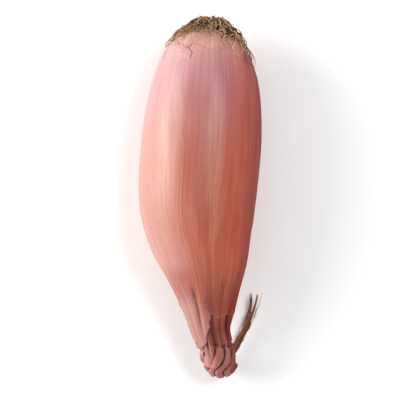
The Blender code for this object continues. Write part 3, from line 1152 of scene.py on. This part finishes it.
def ribbonPaths():
    draw = random.Random(leaves["seed"])
    chains, sizes, twists = [], [], []
    count = leaves["ribbonPoints"]
    for leavesAt, sideways, upwards, length, wide, narrow, twist in leaves["ribbons"]:
        own = draw.random()
        chain = []
        for i in range(count):
            share = i / (count - 1)
            away = share ** 1.4
            wave = 0.25 * math.sin(4.0 * share + 6.0 * own)
            along = leaves["start"] + leavesAt + length * share
            chain.append(Vector((sideways * away + wave * share, upwards * away + 0.2 * wave, along)))
            sizes.append(wide + (narrow - wide) * share ** 0.8)
            twists.append(twist * fullTurn * share + 0.6 * own)
        chains.append(chain)
    return chainObject("ribbon paths", chains, size=sizes, twist=twists)


def ribbonTree():
    net, given = newTree("dry ribbons", ("Line", "Paths", "Section"), ("Resolution",), ("Uneven",))
    curve = curveOf(net, given["Paths"])
    even = net.add("GeometryNodeResampleCurve", {"Curve": curve, "Count": given["Resolution"]})
    tilted = net.add("GeometryNodeSetCurveTilt", {"Curve": even, "Tilt": named(net, "twist")})
    outline = curveOf(net, given["Section"])
    values = {"Curve": tilted, "Profile Curve": outline, "Scale": named(net, "size"), "Fill Caps": True}
    ribbon = net.add("GeometryNodeCurveToMesh", values)
    kept = store(net, ribbon, "place", net.position(), "FLOAT_VECTOR")
    place = named(net, "place", "FLOAT_VECTOR")
    x, y, z = net.split(place)
    rough = net.noise(net.vector(x * 2.4, y * 2.4, z * 0.25), 3.0, 0.6, out="Color")
    crumple = net.scale(net.vectors("SUBTRACT", rough, halves), given["Uneven"])
    return bendAll(net, given, kept, net.vectors("ADD", place, crumple))


def leafSection():
    # a shallow trough with fine ridges, closed
    section = leaves["section"]
    count = section["points"]
    points = []
    for i in range(count):
        turn = fullTurn * i / count
        x = math.cos(turn)
        y = section["thick"] * math.sin(turn) + section["hollow"] * x * x
        y += section["ridge"] * math.cos(section["ridges"] * turn)
        points.append((x, y + section["raised"], 0.0))
    edges = [(i, (i + 1) % count) for i in range(count)]
    return meshObject("leaf section", points, edges)


leafLook = {
    "tones": (
        (0.0, srgb(76, 40, 27)),
        (0.35, srgb(126, 72, 47)),
        (0.65, srgb(150, 104, 70)),
        (1.0, srgb(194, 152, 112)),
    ),
    "bump": (0.8, 0.0003),
}


def leafMaterial():
    material, net, shader = newMaterial("dry leaf", {"Specular IOR Level": 0.35})
    x, y, z = net.split(net.attribute("place", "Vector"))
    stripes = net.noise(net.vector(x * 5.0, y * 5.0, z * 0.22), 4.0, 0.65)
    patches = net.noise(net.vector(x * 0.4, y * 0.4, z * 0.12), 2.0, 0.5)
    colour = net.ramp(leafLook["tones"], stripes * 0.9 + patches * 0.6 - 0.3)
    plug(net, shader, {
        "Base Color": colour,
        "Roughness": 0.55 + stripes * 0.25,
        "Normal": bump(net, stripes, *leafLook["bump"]),
    })
    return material


def fibrePaths():
    draw = random.Random(leaves["seed"] + 1)
    chains, sizes, tones = [], [], []
    count, fray = leaves["fibrePoints"], leaves["fray"]
    for _ in range(leaves["fibres"]):
        leavesAt, sideways, upwards, length, wide, _, _ = draw.choice(leaves["ribbons"])
        first = draw.uniform(*fray["from"])
        last = first + draw.uniform(*fray["over"])
        across, up = draw.uniform(*fray["across"]), draw.uniform(*fray["up"])
        chain = []
        for i in range(count):
            share = min(first + (last - first) * i / (count - 1), 1.06)
            away = share ** 1.4
            out = 1.0 + 0.7 * (i / (count - 1)) ** 2
            chain.append(Vector((
                sideways * away + wide * across * out,
                upwards * away + wide * up * out,
                leaves["start"] + leavesAt + length * share,
            )))
        chains.append(chain)
        sizes += [draw.uniform(*fray["thickness"])] * count
        tones += [draw.random()] * count
    return chainObject("fibre paths", chains, tone=tones, size=sizes)


def makeLeaves():
    material = leafMaterial()
    paths, section = ribbonPaths(), leafSection()
    fibres = fibrePaths()
    shared = {"Line": line, "Material": material}
    values = {"Paths": paths, "Section": section, **leaves["ribbon"], **shared}
    ribbons = runTree("dry_leaf_ribbons", ribbonTree(), values)
    values = {"Paths": fibres, **leaves["fibre"], **shared}
    frayed = runTree("dry_leaf_fibres", strands, values)
    discard(paths, section, fibres)
    for piece in (ribbons, frayed):
        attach(piece, "root")
        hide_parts("leaf_strips")


makeLeaves()
print("dry leaves made")


# Floor, light and camera

studio = {
    "floor": srgb(251, 250, 249),
    "floorHalf": 1.5,
    "floorBelow": 0.0002,
    "world": (0.95, 0.97, 1.0, 1.0),
    "worldStrength": 0.55,
    "cameraHeight": 0.9,
    "middleHeight": 0.017,
    "frameWidth": 0.129,
    "middle": (0.0, -0.001),
    "aimHeight": 0.01,
    "lights": (
        ("key light", (-0.68, 0.14, 0.36), 0.6, 6.6, (1.0, 0.99, 0.97)),
        ("top light", (0.38, 0.24, 0.78), 0.36, 3.5, (1.0, 1.0, 1.0)),
    ),
}


def makeStudio():
    half, below = studio["floorHalf"], -studio["floorBelow"]
    corners = [(-half, -half, below), (half, -half, below), (half, half, below), (-half, half, below)]
    floor = meshObject("floor", corners, (), [(0, 1, 2, 3)])
    settings = {"Base Color": studio["floor"], "Roughness": 0.7}
    floor.data.materials.append(newMaterial("pale floor", settings)[0])
    world = bpy.data.worlds.new("studio")
    world.use_nodes = True
    background = world.node_tree.nodes["Background"]
    background.inputs["Color"].default_value = studio["world"]
    background.inputs["Strength"].default_value = studio["worldStrength"]
    bpy.context.scene.world = world
    bpy.context.scene.view_settings.view_transform = "Standard"
    aim = Vector((*studio["middle"], studio["aimHeight"]))
    for name, place, size, power, colour in studio["lights"]:
        data = bpy.data.lights.new(name, "AREA")
        data.shape = "DISK"
        data.size = size
        data.energy = power
        data.color = colour
        light = bpy.data.objects.new(name, data)
        light.location = place
        light.rotation_euler = (aim - Vector(place)).to_track_quat("-Z", "Y").to_euler()
        bpy.context.scene.collection.objects.link(light)
    data = bpy.data.cameras.new("camera")
    data.sensor_width = 36.0
    data.lens = data.sensor_width * studio["cameraHeight"] / studio["frameWidth"]
    camera = bpy.data.objects.new("camera", data)
    camera.location = (*studio["middle"], studio["cameraHeight"] + studio["middleHeight"])
    bpy.context.scene.collection.objects.link(camera)
    bpy.context.scene.camera = camera


makeStudio()
print("studio made")

discard(line)
